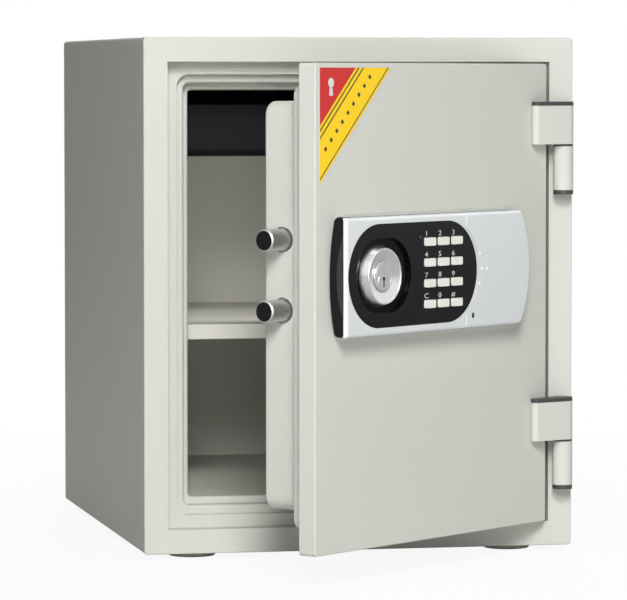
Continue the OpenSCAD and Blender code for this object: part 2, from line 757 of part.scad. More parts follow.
// Side view of the drawer, drawn in from its outline
module drawer_side(inset, top) {
  r = drawer_edge_r - inset;
  y0 = fittings_y + inset;
  z0 = drawer_z0 + inset;
  translate([y0 + r, z0]) square([drawer_l - 2 * inset - r, top - z0]);
  translate([y0, z0 + r]) square([drawer_l - 2 * inset, top - z0 - r]);
  translate([y0 + r, z0 + r]) circle(r);
}

module drawer() color(black) place() {
  side_x = mouth_inset + drawer_side_gap;
  difference() {
    along_x(side_x, body_w - side_x) drawer_side(0, drawer_side_z1);
    along_x(side_x + drawer_t, body_w - side_x - drawer_t) drawer_side(drawer_t, body_h);
  }
  front_x = mouth_inset + drawer_front_gap;
  along_x(front_x, body_w - front_x) intersection() {
    difference() {
      drawer_side(0, drawer_z1);
      drawer_side(drawer_t, body_h);
    }
    translate([fittings_y, drawer_z0]) square([drawer_edge_r, drawer_front_h]);
  }
  along_y(fittings_y + drawer_l - drawer_t, fittings_y + drawer_l)
    translate([side_x, drawer_side_z1 - over])
    square([body_w - 2 * side_x, body_h - mouth_inset - drawer_back_gap - drawer_side_z1 + over]);
  both_sides() along_y(fittings_y + drawer_t, fittings_y + drawer_l)
    translate([front_x, drawer_side_z1 - drawer_t]) square([side_x - front_x + drawer_t / 2, drawer_t]);
}

// Feet

function foot_places() = [for (x = [foot_in_x, body_w - foot_in_x],
  y = [foot_in_y, body_d - foot_in_y]) [x, y]];

module feet() color(dark) place() for (p = foot_places()) translate([p[0], p[1], 0]) rotate_extrude()
  polygon([[foot_screw_r + fit, 0], [foot_r, 0], [foot_r, foot_chamfer - foot_h],
    [foot_r - foot_chamfer, -foot_h], [foot_recess_r, -foot_h], [foot_recess_r, -foot_floor],
    [foot_screw_r + fit, -foot_floor]]);

module foot_screws() color(steel) place() for (p = foot_places()) {
  rod_z(p[0], p[1], foot_screw_r, -foot_floor, foot_screw_l);
  rod_z(p[0], p[1], foot_recess_r - free, -foot_floor - foot_head_t, -foot_floor);
}

// Hinges

module fixed_hinges() color(paint) place() for (z = leaf_zs) {
  top = z - washer_t - free / 2;
  difference() {
    union() {
      rod_z(hinge_x, hinge_y, barrel_r, top - barrel_h, top);
      translate([hinge_x - hinge_web / 2, hinge_y, top - barrel_h]) cube([hinge_web, hinge_front, barrel_h]);
    }
    rod_z(hinge_x, hinge_y, pin_r + snug, top - barrel_h - over, top + over);
  }
}

module hinge_pins() color(steel) place() for (z = leaf_zs)
  rod_z(hinge_x, hinge_y, pin_r, z - washer_t - free / 2 - barrel_h, z + leaf_h - free / 2);

module hinge_bottom_caps() color(dark) place() for (z = leaf_zs) {
  low = z - washer_t - free / 2 - barrel_h;
  rod_z(hinge_x, hinge_y, barrel_r, low - bottom_cap_t, low);
}

module hinge_washers() color(dark) place() for (z = leaf_zs) difference() {
  rod_z(hinge_x, hinge_y, barrel_r - free, z - washer_t - free / 2, z - free / 2);
  rod_z(hinge_x, hinge_y, pin_r + snug, z - washer_t - over, z + over);
}

// Plan of a door leaf: a round barrel, a round end on the door and the straight runs between them
module leaf_plan() {
  barrel = [hinge_x, hinge_y];
  end = [hinge_x - leaf_l + leaf_end_r, -leaf_end_r];
  heel = [body_w - plate_inset - leaf_heel, 0];
  front = touch_normal(end, leaf_end_r, barrel, barrel_r, -1);
  back = touch_normal(heel, 0, barrel, barrel_r, 1);
  polygon([[end[0], 0], heel, barrel + barrel_r * back, barrel + barrel_r * front,
    end + leaf_end_r * front]);
  translate(barrel) circle(barrel_r);
  translate(end) circle(leaf_end_r);
}

module hinge_leaves() color(paint) on_door() for (z = leaf_zs) difference() {
  along_z(z, z + leaf_h) leaf_plan();
  rod_z(hinge_x, hinge_y, pin_r + fit, z - over, z + leaf_h + over);
}

module hinge_top_caps() color(dark) on_door() for (z = leaf_zs)
  along_z(z + leaf_h, z + leaf_h + top_cap_t) leaf_plan();

// Door

module door_plate() color(paint) on_door() difference() {
  soft_front(plate_inset, plate_r, plate_edge_r, 0, plate_t);
  inset_block(plate_inset + plate_skin, 0, plate_skin, plate_t + over);
  rod_y(knob_x, lock_z, spindle_hole_r, -over, plate_t);
  rod_y(wire_x, lock_z, spindle_hole_r, -over, plate_t);
}

module door_step() color(paint) on_door() difference() {
  union() {
    inset_block(plate_inset + plate_skin, 0, plate_t - plate_skin, plate_t);
    soft_back(step_inset, step_r, step_edge_r, plate_t - plate_skin, step_y);
  }
  inset_block(step_inset + plate_skin, step_r - plate_skin, 0, step_y - plate_skin);
  rod_y(knob_x, lock_z, spindle_hole_r, 0, step_y + over);
  rod_y(wire_x, lock_z, spindle_hole_r, 0, step_y + over);
  for (p = pan_screw_places()) rod_y(p[0], p[1], pan_screw_r + snug, 0, step_y + over);
}

module door_filling() color(filling) on_door() difference() {
  union() {
    inset_block(plate_inset + plate_skin, 0, plate_skin, plate_t - plate_skin);
    inset_block(step_inset + plate_skin, step_r - plate_skin, plate_skin, step_y - plate_skin);
  }
  rod_y(knob_x, lock_z, spindle_hole_r, 0, step_y);
  rod_y(wire_x, lock_z, spindle_hole_r, 0, step_y);
}

module door_seal() color(dark) on_door()
  ring(plate_inset + seal_in, 0, plate_inset + seal_in + seal_w, 0, plate_t, plate_t + seal_t);

function pan_screw_places() = [
  for (x = [pan_inset + pan_post_in, body_w / 2, body_w - pan_inset - pan_post_in],
    z = [pan_inset + pan_post_in, body_h - pan_inset - pan_post_in]) [x, z]];

module plug_pan() color(paint) on_door() difference() {
  union() {
    difference() {
      soft_back(pan_inset, pan_r, pan_edge, step_y, pan_y);
      inset_block(pan_inset + pan_t, pan_r - pan_t, step_y - over, pan_y - pan_t);
    }
    for (p = pan_screw_places()) rod_y(p[0], p[1], pan_post_r, step_y, pan_y - pan_t / 2);
  }
  for (p = pan_screw_places()) rod_y(p[0], p[1], pan_screw_r + fit, step_y - over, pan_y + over);
  for (z = bolt_zs) rod_x(bolt_y, z, bolt_hole_r, pan_inset - over, pan_inset + pan_t + over);
}

module pan_screws() color(steel) on_door() for (p = pan_screw_places()) {
  rod_y(p[0], p[1], pan_screw_r, step_y - plate_skin, pan_y);
  rod_y(p[0], p[1], 2 * pan_screw_r, pan_y, pan_y + pan_head_t);
}

// Bolt work

module lock_plate() color(steel) on_door() {
  difference() {
    along_y(step_y, lock_y)
      round_rect(guide_x0, bracket_z0 - lock_plate_margin, plunger_x + 2 * coil_r,
        lock_z + bar_half + lock_plate_margin, lock_plate_r);
    rod_y(knob_x, lock_z, spindle_r + fit, step_y - over, lock_y + over);
  }
  rod_y(stud_x, lock_z, stud_r, lock_y - over, bar_y1 + free);
  rod_y(stud_x, lock_z, stud_r + stud_head, bar_y1 + free, bar_y1 + free + bar_t / 2);
}

module bolt_guide() color(steel) on_door() difference() {
  along_y(lock_y, bolt_y + bolt_r + guide_wall)
    round_rect(guide_x0, lock_z - bolt_pitch / 2 - bolt_r - guide_wall, guide_x1,
      lock_z + bolt_pitch / 2 + bolt_r + guide_wall, 0);
  for (z = bolt_zs) rod_x(bolt_y, z, bolt_r + fit, guide_x0 - over, guide_x1 + over);
}

module bolts() color(steel) on_door() for (z = bolt_zs) difference() {
  translate([bolt_x0, bolt_y, z]) rotate([0, 90, 0]) rotate_extrude()
    polygon([[0, 0], [bolt_r - bolt_chamfer, 0], [bolt_r, bolt_chamfer],
      [bolt_r, bar_x0 + bar_l - bolt_x0], [0, bar_x0 + bar_l - bolt_x0]]);
  translate([bar_x0 - free / 2, bar_y1 - bolt_r, z - bolt_r - over])
    cube([bar_l + bolt_r, bolt_r, 2 * (bolt_r + over)]);
  rod_y(bar_x0 + bar_l / 2, z, rivet_r, bar_y0, bar_y1 + rivet_l);
}

module bolt_bar() color(steel) on_door() difference() {
  along_y(bar_y0, bar_y1) {
    round_rect(bar_x0, lock_z - bar_half, bar_x0 + bar_l, lock_z + bar_half, bar_corner_r);
    round_rect(bar_x0, tab_z0, plunger_x + plunger_r + tab_end, lock_z + tab_rise, bar_corner_r);
  }
  translate([pin_x - crank_pin_r - pin_play, bar_y0 - over,
    lock_z + crank_r * cos(crank_swing) - crank_pin_r - pin_play])
    cube([2 * (crank_pin_r + pin_play), bar_t + 2 * over,
      crank_r * (1 - cos(crank_swing)) + 2 * (crank_pin_r + pin_play)]);
  translate([stud_x - bolt_travel - stud_r - pin_play, bar_y0 - over, lock_z - stud_r - free])
    cube([bolt_travel + 2 * (stud_r + pin_play), bar_t + 2 * over, 2 * (stud_r + free)]);
  translate([plunger_x - plunger_r - notch_play, bar_y0 - over, tab_z0 - over])
    cube([2 * (plunger_r + notch_play), bar_t + 2 * over, over + plunger_travel + notch_play]);
  for (z = bolt_zs) rod_y(bar_x0 + bar_l / 2, z, rivet_r + snug, bar_y0 - over, bar_y1 + over);
}

module bolt_rivets() color(steel) on_door() for (z = bolt_zs) {
  rod_y(bar_x0 + bar_l / 2, z, rivet_r, bar_y0, bar_y1 + rivet_l);
  rod_y(bar_x0 + bar_l / 2, z, rivet_r + rivet_head, bar_y0 - rivet_head_t, bar_y0);
}

module solenoid_bracket() color(steel) on_door() difference() {
  ear_y = plunger_y + coil_r;
  back = lock_y + bracket_t / 2;
  low = bracket_z0 + bracket_t / 2;
  high = bracket_z1 - bracket_t / 2;
  along_x(plunger_x - coil_r - coil_margin, plunger_x + coil_r + coil_margin)
    strip([[ear_y, low], [back, low], [back, high], [ear_y, high]], bracket_t);
  rod_z(plunger_x, plunger_y, plunger_r + free, bracket_z1 - 2 * bracket_t, bracket_z1 + over);
}

module solenoid() color(dark) on_door() difference() {
  rod_z(plunger_x, plunger_y, coil_r, bracket_z0 + bracket_t, bracket_z1 - bracket_t);
  rod_z(plunger_x, plunger_y, plunger_r + fit, bracket_z0 + bracket_t + coil_margin, bracket_z1);
}

module solenoid_plunger() color(steel) on_door()
  rod_z(plunger_x, plunger_y, plunger_r, bracket_z0 + bracket_t + coil_margin + plunger_gap,
    tab_z0 - plunger_gap);

// Lock panel

// Front view of the panel: square at the left, an arc at the right
module panel_outline(x0, half, gap) {
  mid = panel_x1 - panel_end_r;
  translate([x0, lock_z - half]) square([mid - x0, 2 * half]);
  intersection() {
    translate([mid, lock_z]) circle(panel_end_r - gap, $fn = 256);
    translate([mid, lock_z - half]) square([panel_end_r, 2 * half]);
  }
}

// Front view of the panel's base: an arc at both ends
module base_outline() intersection() {
  panel_outline(panel_x0, base_half, 0);
  union() {
    translate([panel_x0 + end_cap_arc_r, lock_z]) circle(end_cap_arc_r - base_in, $fn = 720);
    translate([panel_x0 + end_cap_arc_r, lock_z - base_half]) square([panel_l, base_h]);
  }
}

module panel_base() color(silver) on_door() {
  difference() {
    along_y(-base_t, 0) base_outline();
    rod_y(knob_x, lock_z, spindle_r + fit, -base_t - over, over);
    rod_y(wire_x, lock_z, spindle_hole_r, -base_t - over, over);
  }
  along_y(-rail_t, 0) difference() {
    base_outline();
    translate([0, lock_z - cover_half - free]) square([body_w, 2 * (cover_half + free)]);
  }
  for (x = board_xs(), z = board_zs()) rod_y(x, z, board_post_r, -board_t0, -base_t);
}

// End view of a cover, with round edges along its length
module cover_profile(t0, t1, half, r) {
  translate([-t1 + r, lock_z - half]) square([t1 - r - t0, 2 * half]);
  translate([-t1, lock_z - half + r]) square([t1 - t0, 2 * (half - r)]);
  for (z = [-1, 1]) translate([-t1 + r, lock_z + z * (half - r)]) circle(r);
}

module cover_shell(x0, t0) difference() {
  intersection() {
    along_x(x0, panel_x1 + over) cover_profile(t0, panel_t, cover_half, cover_edge_r);
    along_y(-panel_t - over, 0) panel_outline(x0, cover_half + over, 0);
  }
  intersection() {
    along_x(x0 - over, panel_x1)
      cover_profile(0, cover_inside, cover_half - cover_t, cover_edge_r - cover_t);
    along_y(-panel_t, over) panel_outline(x0 - over, cover_half + over, cover_t);
  }
}

module panel_cover() color(silver) on_door() difference() {
  intersection() {
    union() {
      cover_shell(cover_x0, base_t);
      along_y(-cover_inside - over / 2, inlay_t - panel_t)
        translate([cover_x0, lock_z - cover_half + cover_t])
        square([cover_end_r + cover_t, 2 * (cover_half - cover_t)]);
    }
    along_y(-panel_t - over, 0) {
      translate([cover_x0, 0]) square([battery_seam - cover_in - seam_gap, body_h]);
      translate([inlay_x2, lock_z]) circle(inlay_r + cover_rim);
    }
    along_z(0, body_h) {
      translate([cover_x0 + cover_end_r, -panel_t]) square([panel_l, panel_t]);
      translate([cover_x0, cover_end_r - panel_t]) square([panel_l, panel_t - cover_end_r]);
      translate([cover_x0 + cover_end_r, cover_end_r - panel_t]) circle(cover_end_r);
    }
  }
  translate([panel_x0 - over, -end_cap_t - fit, 0]) cube([end_cap_x1 + fit - panel_x0 + over, end_cap_t, body_h]);
  along_y(-panel_t - over, -base_t - over) inlay_outline(inlay_r);
  along_y(-cover_inside - fit, -base_t - over) inlay_outline(inlay_r + inlay_lip + free / 2);
}

module battery_cover() color(silver) on_door() difference() {
  intersection() {
    cover_shell(seam_x, base_t + free / 2);
    along_y(-panel_t - over, 0) translate([seam_x, 0]) square([panel_l, body_h]);
  }
  along_y(-panel_t - over, over) translate([inlay_x2, lock_z]) circle(inlay_r + cover_rim + seam_gap);
  along_y(-panel_t - over, -cover_inside + over) {
    for (z = [-1, 1]) translate([seam_x + pry_x, lock_z - pry_drop + z * pry_h / 2]) circle(pry_r);
    translate([seam_x + pry_x - pry_r, lock_z - pry_drop - pry_h / 2]) square([2 * pry_r, pry_h]);
  }
}

module inlay_outline(r) {
  for (x = [knob_x, inlay_x2]) translate([x, lock_z]) circle(r);
  translate([knob_x, lock_z - r]) square([inlay_pitch, 2 * r]);
}

module panel_inlay() color(black) on_door() difference() {
  union() {
    along_y(-panel_t, -inlay_back) inlay_outline(inlay_r - free / 2);
    along_y(-cover_inside, -inlay_back) inlay_outline(inlay_r + inlay_lip);
  }
  along_y(-panel_t - over, 0) well_outline(collar_r);
  rod_y(lamp_x, lamp_z, lamp_r + fit, -panel_t - over, 0);
  along_y(-panel_t - over, 0) for (i = [0:len(KEYS) - 1]) key_plan(i, key_gap);
}

// The black end cap: a bulging face with a bevelled front edge and round ends
module panel_end_cap() color(black) on_door() intersection() {
  along_z(0, body_h) polygon([[panel_x0, over], [panel_x0, -end_cap_bevel],
    [panel_x0 + 2 * cover_in, end_cap_bevel - 2 * end_cap_t],
    [end_cap_x1, end_cap_bevel - 2 * end_cap_t], [end_cap_x1, over]]);
  along_y(-panel_t, 0) intersection() {
    translate([panel_x0 + end_cap_arc_r, lock_z]) circle(end_cap_arc_r, $fn = 720);
    translate([panel_x0 - over, lock_z - base_half]) square([inlay_r, base_h]);
  }
  along_x(panel_x0 - over, knob_x)
    round_rect(-end_cap_t, lock_z - cover_half, -base_t, lock_z + cover_half, end_cap_r);
}

// Electronics

function board_xs() = [board_x0 + 2 * board_post_r, board_x1 - 2 * board_post_r];
function board_zs() = [lock_z - board_half + 2 * board_post_r, lock_z + board_half - 2 * board_post_r];

module circuit_board() color("#2c6b45") on_door() {
  along_y(-board_t0 - board_t, -board_t0)
    translate([board_x0, lock_z - board_half]) square([board_x1 - board_x0, 2 * board_half]);
  for (i = [0:len(KEYS) - 1]) rod_y(key_place(i)[0], key_place(i)[1], dome_r, -dome_t, -board_t0);
}

module status_lamp() color("#7a1512") on_door() {
  rod_y(lamp_x, lamp_z, lamp_r, -panel_t, -board_t0 - board_t);
  translate([lamp_x, -panel_t, lamp_z]) sphere(lamp_r);
}

module battery_tray() color(dark) on_door() difference() {
  union() {
    along_y(-tray_t, -base_t) tray_outline();
    along_y(-tray_wall_h, -base_t) difference() {
      tray_outline();
      translate([tray_x0 + tray_wall, 0]) square([battery_l + 2 * free, body_h]);
    }
  }
  for (z = battery_zs()) rod_x(-battery_t, z, battery_r + free / 2, tray_x0 + tray_wall, battery_x1 + free);
}

module tray_outline() translate([tray_x0, lock_z - tray_half])
  square([battery_l + 2 * (tray_wall + free), 2 * tray_half]);

function battery_zs() = [for (k = [-1.5:1.5]) lock_z + k * battery_pitch];

module batteries() color("#4d5a66") on_door() for (k = [0:3]) {
  z = battery_zs()[k];
  rod_x(-battery_t, z, battery_r, battery_x0, battery_x1 - battery_tip);
  rod_x(-battery_t, z, battery_r / 3, battery_x1 - battery_tip - over, battery_x1);
}

// Keys

function key_place(i) = [key_x0 + (i % 3) * key_pitch_x, key_z0 - floor(i / 3) * key_pitch_z];

module key_plan(i, gap) {
  x = key_place(i)[0];
  z = key_place(i)[1];
  round_rect(x - key_w / 2 - gap, z - key_h / 2 - gap, x + key_w / 2 + gap, z + key_h / 2 + gap,
    key_corner_r);
}

module key(i) color("#e4e1d3") on_door() {
  along_y(-panel_t - key_proud, -inlay_back + key_gap) key_plan(i, 0);
  along_y(-inlay_back + free / 2, -inlay_back + free / 2 + key_flange_t) key_plan(i, key_flange);
  rod_y(key_place(i)[0], key_place(i)[1], key_stem_r, -inlay_back, -dome_t - key_travel - free / 2);
}

// Knob and key lock

// Front view of the well round the knob, drawn out towards the keys
module well_outline(r) {
  for (x = [knob_x, knob_x + well_l]) translate([x, lock_z]) circle(r);
  translate([knob_x, lock_z - r]) square([well_l, 2 * r]);
}

module knob_collar() color(black) on_door() difference() {
  union() {
    along_y(-inlay_back, collar_t - inlay_back) well_outline(collar_r + collar_lip);
    along_y(-panel_t, collar_t / 2 - inlay_back) well_outline(collar_r);
  }
  along_y(-panel_t - over, free - knob_t0) well_outline(collar_r - collar_rim);
  rod_y(knob_x, lock_z, spindle_r + fit, -panel_t - over, 0);
}

module knob() color(silver) on_door() turned(knob_x, lock_z) translate([0, knob_t0]) {
  rim = knob_h - knob_rim_r;
  polygon([[spindle_r + snug, 0], [knob_r, 0], [knob_r, knob_foot], [knob_face_r, rim],
    [knob_face_r - 2 * knob_rim_r, rim], [cylinder_r + knob_flat, knob_h - knob_dish],
    [cylinder_r + snug, knob_h - knob_dish], [cylinder_r + snug, knob_floor],
    [spindle_r + snug, knob_floor]]);
  translate([knob_face_r - knob_rim_r, rim]) circle(knob_rim_r);
}

module spindle() color(steel) on_door() rod_y(knob_x, lock_z, spindle_r, -pocket_t, crank_y + crank_t);

module crank() color(steel) on_door() translate([knob_x, 0, lock_z]) rotate([0, -crank_swing, 0])
  translate([-knob_x, 0, -lock_z]) difference() {
  union() {
    along_y(crank_y, crank_y + crank_t) {
      translate([knob_x, lock_z]) circle(crank_hub_r);
      translate([knob_x - crank_end_r, lock_z]) square([2 * crank_end_r, crank_r]);
      translate([knob_x, lock_z + crank_r]) circle(crank_end_r);
    }
    rod_y(knob_x, lock_z + crank_r, crank_pin_r, crank_y, bar_y1 - free);
  }
  rod_y(knob_x, lock_z, spindle_r + snug, crank_y - over, crank_y + crank_t + over);
}

module cylinder_housing() color(silver) on_door() difference() {
  groove_r = cylinder_r - groove_in;
  turned(knob_x, lock_z) translate([0, knob_t0])
    polygon([[0, knob_floor], [cylinder_r, knob_floor], [cylinder_r, cylinder_h - cylinder_chamfer],
      [cylinder_r - cylinder_chamfer, cylinder_h], [groove_r, cylinder_h],
      [groove_r - groove_w / 2, cylinder_h - groove_w / 2], [groove_r - groove_w, cylinder_h],
      [0, cylinder_h]]);
  rod_y(knob_x, lock_z - plug_drop, plug_r + fit, -knob_t0 - cylinder_h - over, -pocket_t - plug_floor);
}

module cylinder_plug() color(silver) on_door() difference() {
  rod_y(knob_x, lock_z - plug_drop, plug_r, -knob_t0 - cylinder_h - plug_proud,
    -pocket_t - plug_floor - fit);
  along_y(-knob_t0 - cylinder_h - over, -pocket_t - 2 * plug_floor) {
    translate([knob_x, lock_z - plug_drop + keyhole_rise]) circle(keyhole_r);
    translate([knob_x - keyhole_w / 2, lock_z - plug_drop + keyhole_rise - keyhole_l])
      square([keyhole_w, keyhole_l]);
  }
}

outer_shell();
back_cover();
back_screws();
door_frame();
inner_liner();
body_filling();
strike_box();
shelf();
shelf_supports();
drawer_runners();
drawer();
feet();
foot_screws();
fixed_hinges();
hinge_pins();
hinge_bottom_caps();
hinge_washers();
door_plate();
door_filling();
door_step();
door_seal();
plug_pan();
pan_screws();
hinge_leaves();
hinge_top_caps();
lock_plate();
bolt_guide();
bolts();
bolt_bar();
bolt_rivets();
solenoid();
solenoid_bracket();
solenoid_plunger();
panel_base();
panel_cover();
panel_inlay();
panel_end_cap();
circuit_board();
status_lamp();
battery_tray();
batteries();
battery_cover();
knob_collar();
knob();
spindle();
crank();
cylinder_housing();
cylinder_plug();
for (i = [0:len(KEYS) - 1]) key(i);
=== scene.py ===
"""Looks of a small fire safe: materials, key legends, label, lights and camera."""
import math

import bmesh
import bpy
from mathutils import Matrix, Vector


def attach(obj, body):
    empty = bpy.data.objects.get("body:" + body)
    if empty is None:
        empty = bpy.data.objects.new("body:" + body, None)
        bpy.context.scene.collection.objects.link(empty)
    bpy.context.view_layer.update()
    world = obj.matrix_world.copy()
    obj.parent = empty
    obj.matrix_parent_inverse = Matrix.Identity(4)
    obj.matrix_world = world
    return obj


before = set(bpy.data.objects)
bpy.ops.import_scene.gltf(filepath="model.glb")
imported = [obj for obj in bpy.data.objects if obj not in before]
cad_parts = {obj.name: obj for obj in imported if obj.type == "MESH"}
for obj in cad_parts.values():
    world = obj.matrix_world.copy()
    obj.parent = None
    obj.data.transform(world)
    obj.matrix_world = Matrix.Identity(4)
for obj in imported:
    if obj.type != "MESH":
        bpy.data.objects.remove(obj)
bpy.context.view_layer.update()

MM = 0.001

# The cabinet's own frame, in mm: x from its left side, y back from its front, z up from its
# underside
BODY_W, BODY_D, FOOT_H = 352.0, 430.0, 5.0
DOOR_X0 = 21.0
HINGE = Vector((342.0, -9.0, 0.0))
DOOR_OPEN = math.radians(41)
DOOR_REACH = -HINGE.y * (1 - math.cos(DOOR_OPEN)) + (HINGE.x - DOOR_X0) * math.sin(DOOR_OPEN)
CABINET = (Matrix.Scale(MM, 4)
           @ Matrix.Translation((-BODY_W / 2, (DOOR_REACH - BODY_D) / 2, FOOT_H)))
# The same frame, turned with the door as it stands ajar
DOOR = (CABINET @ Matrix.Translation(HINGE) @ Matrix.Rotation(DOOR_OPEN, 4, "Z")
        @ Matrix.Translation(-HINGE))

# Lock panel: distances out of the door's face are counted along -y
PANEL_T = 15.5
LOCK_Z = 230.0
KNOB_X = 81.3
PLUG_DROP = 4.0
SEAM_X = 196.1

# Keys: the middle column stands KEY_SHIFT left of the middle of the keypad's round end
INLAY_X2 = 171.1
KEY_SHIFT = 6.7
KEY_PITCH = (17.9, 16.0)
KEY_X0 = INLAY_X2 - KEY_SHIFT - KEY_PITCH[0]
KEY_Z0 = LOCK_Z + 1.5 * KEY_PITCH[1]
KEY_COLUMNS = 3
KEYS = ["key_1", "key_2", "key_3", "key_4", "key_5", "key_6", "key_7", "key_8", "key_9",
        "key_clear", "key_0", "key_hash"]
LEGENDS = "123456789C0#"

# Bolts: the place of their free ends, and the dark cap inside the chamfer, a painted dark
# reflection on their polished ends
BOLT_X0, BOLT_Y = 27.0, 53.0
BOLT_ZS = (LOCK_Z - 27, LOCK_Z + 27)
BOLT_END_R, BOLT_END_H = 7.5, 0.25


# ---- Materials ----

# Part of a noise's values over which a colour changes
CLOUD_SPAN = (0.3, 0.7)
# Patches of uneven gloss are this much finer than the clouds of colour
GLOSS_FINENESS = 5
# Turned metal: its patches and their shades, the reach of its gloss, its marks and its edges
TURNED_PATCHES, TURNED_SHADES = 60.0, (0.94, 1.05)
TURNED_GLOSS = (-0.08, 0.1)
TURNED_DEPTH, TURNED_EDGE = 0.00005, 0.0003


def put(tree, value, socket):
    """Sets a socket, or links it where the value is an output of another node."""
    if isinstance(value, bpy.types.NodeSocket):
        tree.links.new(value, socket)
    else:
        socket.default_value = value


def add(tree, kind, settings=None, **sockets):
    """Adds a node with its settings, and its sockets by name."""
    node = tree.nodes.new(kind)
    for key, value in (settings or {}).items():
        setattr(node, key, value)
    for key, value in sockets.items():
        put(tree, value, node.inputs[key.replace("_", " ")])
    return node


def add_in_order(tree, kind, settings, *values):
    """Adds a node whose sockets are given in order, for kinds that give them all one name."""
    node = add(tree, kind, settings)
    for value, socket in zip(values, node.inputs):
        put(tree, value, socket)
    return node


def maths(tree, operation, *values):
    return add_in_order(tree, "ShaderNodeMath", {"operation": operation}, *values).outputs["Value"]


def vector_maths(tree, operation, *values):
    return add_in_order(tree, "ShaderNodeVectorMath", {"operation": operation}, *values).outputs


def map_range(tree, value, to, span=(0.0, 1.0)):
    """Maps the values of a span onto another one."""
    return add(tree, "ShaderNodeMapRange", Value=value, From_Min=span[0], From_Max=span[1],
               To_Min=to[0], To_Max=to[1]).outputs["Result"]


def object_point(tree):
    return add(tree, "ShaderNodeTexCoord").outputs["Object"]


def noise(tree, point, scale, detail=3.0):
    return add(tree, "ShaderNodeTexNoise", Vector=point, Scale=scale, Detail=detail).outputs["Fac"]


def clouded(tree, point, scale, colour, darker, lighter):
    """A colour that drifts between a darker and a lighter shade of itself."""
    node = add(tree, "ShaderNodeValToRGB", Fac=noise(tree, point, scale))
    for element, place, factor in zip(node.color_ramp.elements, CLOUD_SPAN, (darker, lighter)):
        element.position = place
        element.color = (*(min(1.0, part * factor) for part in colour), 1)
    return node.outputs["Color"]


def bump(tree, shader, height, strength, distance, edge):
    """Relief from a height, over normals that round off sharp edges as bent sheet has them."""
    rounded = add(tree, "ShaderNodeBevel", {"samples": 4}, Radius=edge).outputs["Normal"]
    relief = add(tree, "ShaderNodeBump", Height=height, Strength=strength, Distance=distance,
                 Normal=rounded)
    tree.links.new(relief.outputs["Normal"], shader.inputs["Normal"])


def new_material(name, **sockets):
    """A material with a Principled shader whose sockets are set; gives its tree and shader."""
    material = bpy.data.materials.new(name)
    material.use_nodes = True
    tree = material.node_tree
    shader = tree.nodes["Principled BSDF"]
    for key, value in sockets.items():
        put(tree, value, shader.inputs[key.replace("_", " ")])
    return material, tree, shader


def finish_material(name, colour, roughness, metallic=0.0, tint=0.03, tint_scale=7.0, grain=900.0,
                    grain_strength=0.05, grain_depth=0.0001, spread_by=0.05, edge=0.0004,
                    **sockets):
    """A surface with slight clouds of colour, uneven gloss, a fine grain and rounded edges."""
    material, tree, shader = new_material(name, Metallic=metallic, **sockets)
    point = object_point(tree)
    put(tree, clouded(tree, point, tint_scale, colour, 1 - tint, 1 + tint),
        shader.inputs["Base Color"])
    patches = noise(tree, point, tint_scale * GLOSS_FINENESS, 4.0)
    put(tree, map_range(tree, patches, (roughness - spread_by, roughness + spread_by)),
        shader.inputs["Roughness"])
    bump(tree, shader, noise(tree, point, grain), grain_strength, grain_depth, edge)
    return material


def turned_material(name, colour, roughness, centre, is_rod, scale, strength):
    """Metal with the fine marks of turning: in a row along a rod, or outwards on a face."""
    material, tree, shader = new_material(name, Metallic=1.0)
    point = object_point(tree)
    moved = vector_maths(tree, "SUBTRACT", point, centre)["Vector"]
    turned = add(tree, "ShaderNodeVectorRotate", {"rotation_type": "Z_AXIS"}, Vector=moved,
                 Angle=-DOOR_OPEN)
    parts = add(tree, "ShaderNodeSeparateXYZ", Vector=turned.outputs["Vector"]).outputs
    if is_rod:
        run = parts["X"]
    else:
        flat = add(tree, "ShaderNodeCombineXYZ", X=parts["X"], Y=parts["Z"]).outputs["Vector"]
        run = vector_maths(tree, "LENGTH", flat)["Value"]
    marks = add(tree, "ShaderNodeTexNoise", {"noise_dimensions": "1D"}, W=run, Scale=scale,
                Detail=3.0, Roughness=0.7).outputs["Fac"]
    put(tree, clouded(tree, point, TURNED_PATCHES, colour, *TURNED_SHADES),
        shader.inputs["Base Color"])
    put(tree, map_range(tree, marks, [roughness + change for change in TURNED_GLOSS]),
        shader.inputs["Roughness"])
    bump(tree, shader, marks, strength, TURNED_DEPTH, TURNED_EDGE)
    return material


def on_door(x, y, z):
    """Place in the scene of a point that is given on the door, in mm."""
    return tuple(DOOR @ Vector((x, y, z)))


paint = finish_material("powder_coat", (0.665, 0.665, 0.612), 0.46, tint=0.012, grain=1100.0,
                        grain_strength=0.08, edge=0.0005, Specular_IOR_Level=0.1)
# Paint of the inside: a lighter copy of the body's paint, painted light for the dim inside
liner_paint_lightened = finish_material("inner_paint_lightened", (0.72, 0.71, 0.64), 0.52, tint=0.015, grain=1100.0,
                              grain_strength=0.08, edge=0.0007, Specular_IOR_Level=0.2)
steel = finish_material("zinc_steel", (0.52, 0.53, 0.54), 0.36, metallic=1.0, tint=0.08,
                        tint_scale=30.0, grain=700.0, spread_by=0.08)
bolt_steel = turned_material("turned_bolt_steel", (0.56, 0.565, 0.56), 0.42,
                             on_door(BOLT_X0, BOLT_Y, LOCK_Z), is_rod=True, scale=2500.0,
                             strength=0.25)
# Painted dark reflection: near black for the polished bolt ends, which mirror dark surroundings
bolt_end_reflection = finish_material("bolt_end_dark_reflection", (0.006, 0.0055, 0.0055), 0.4, tint=0.2, grain=1500.0,
                           grain_strength=0.15, Specular_IOR_Level=0.15)
filling = finish_material("fire_filling", (0.36, 0.33, 0.28), 0.9, tint=0.15, tint_scale=40.0,
                          grain=500.0, grain_strength=0.6, grain_depth=0.0008)
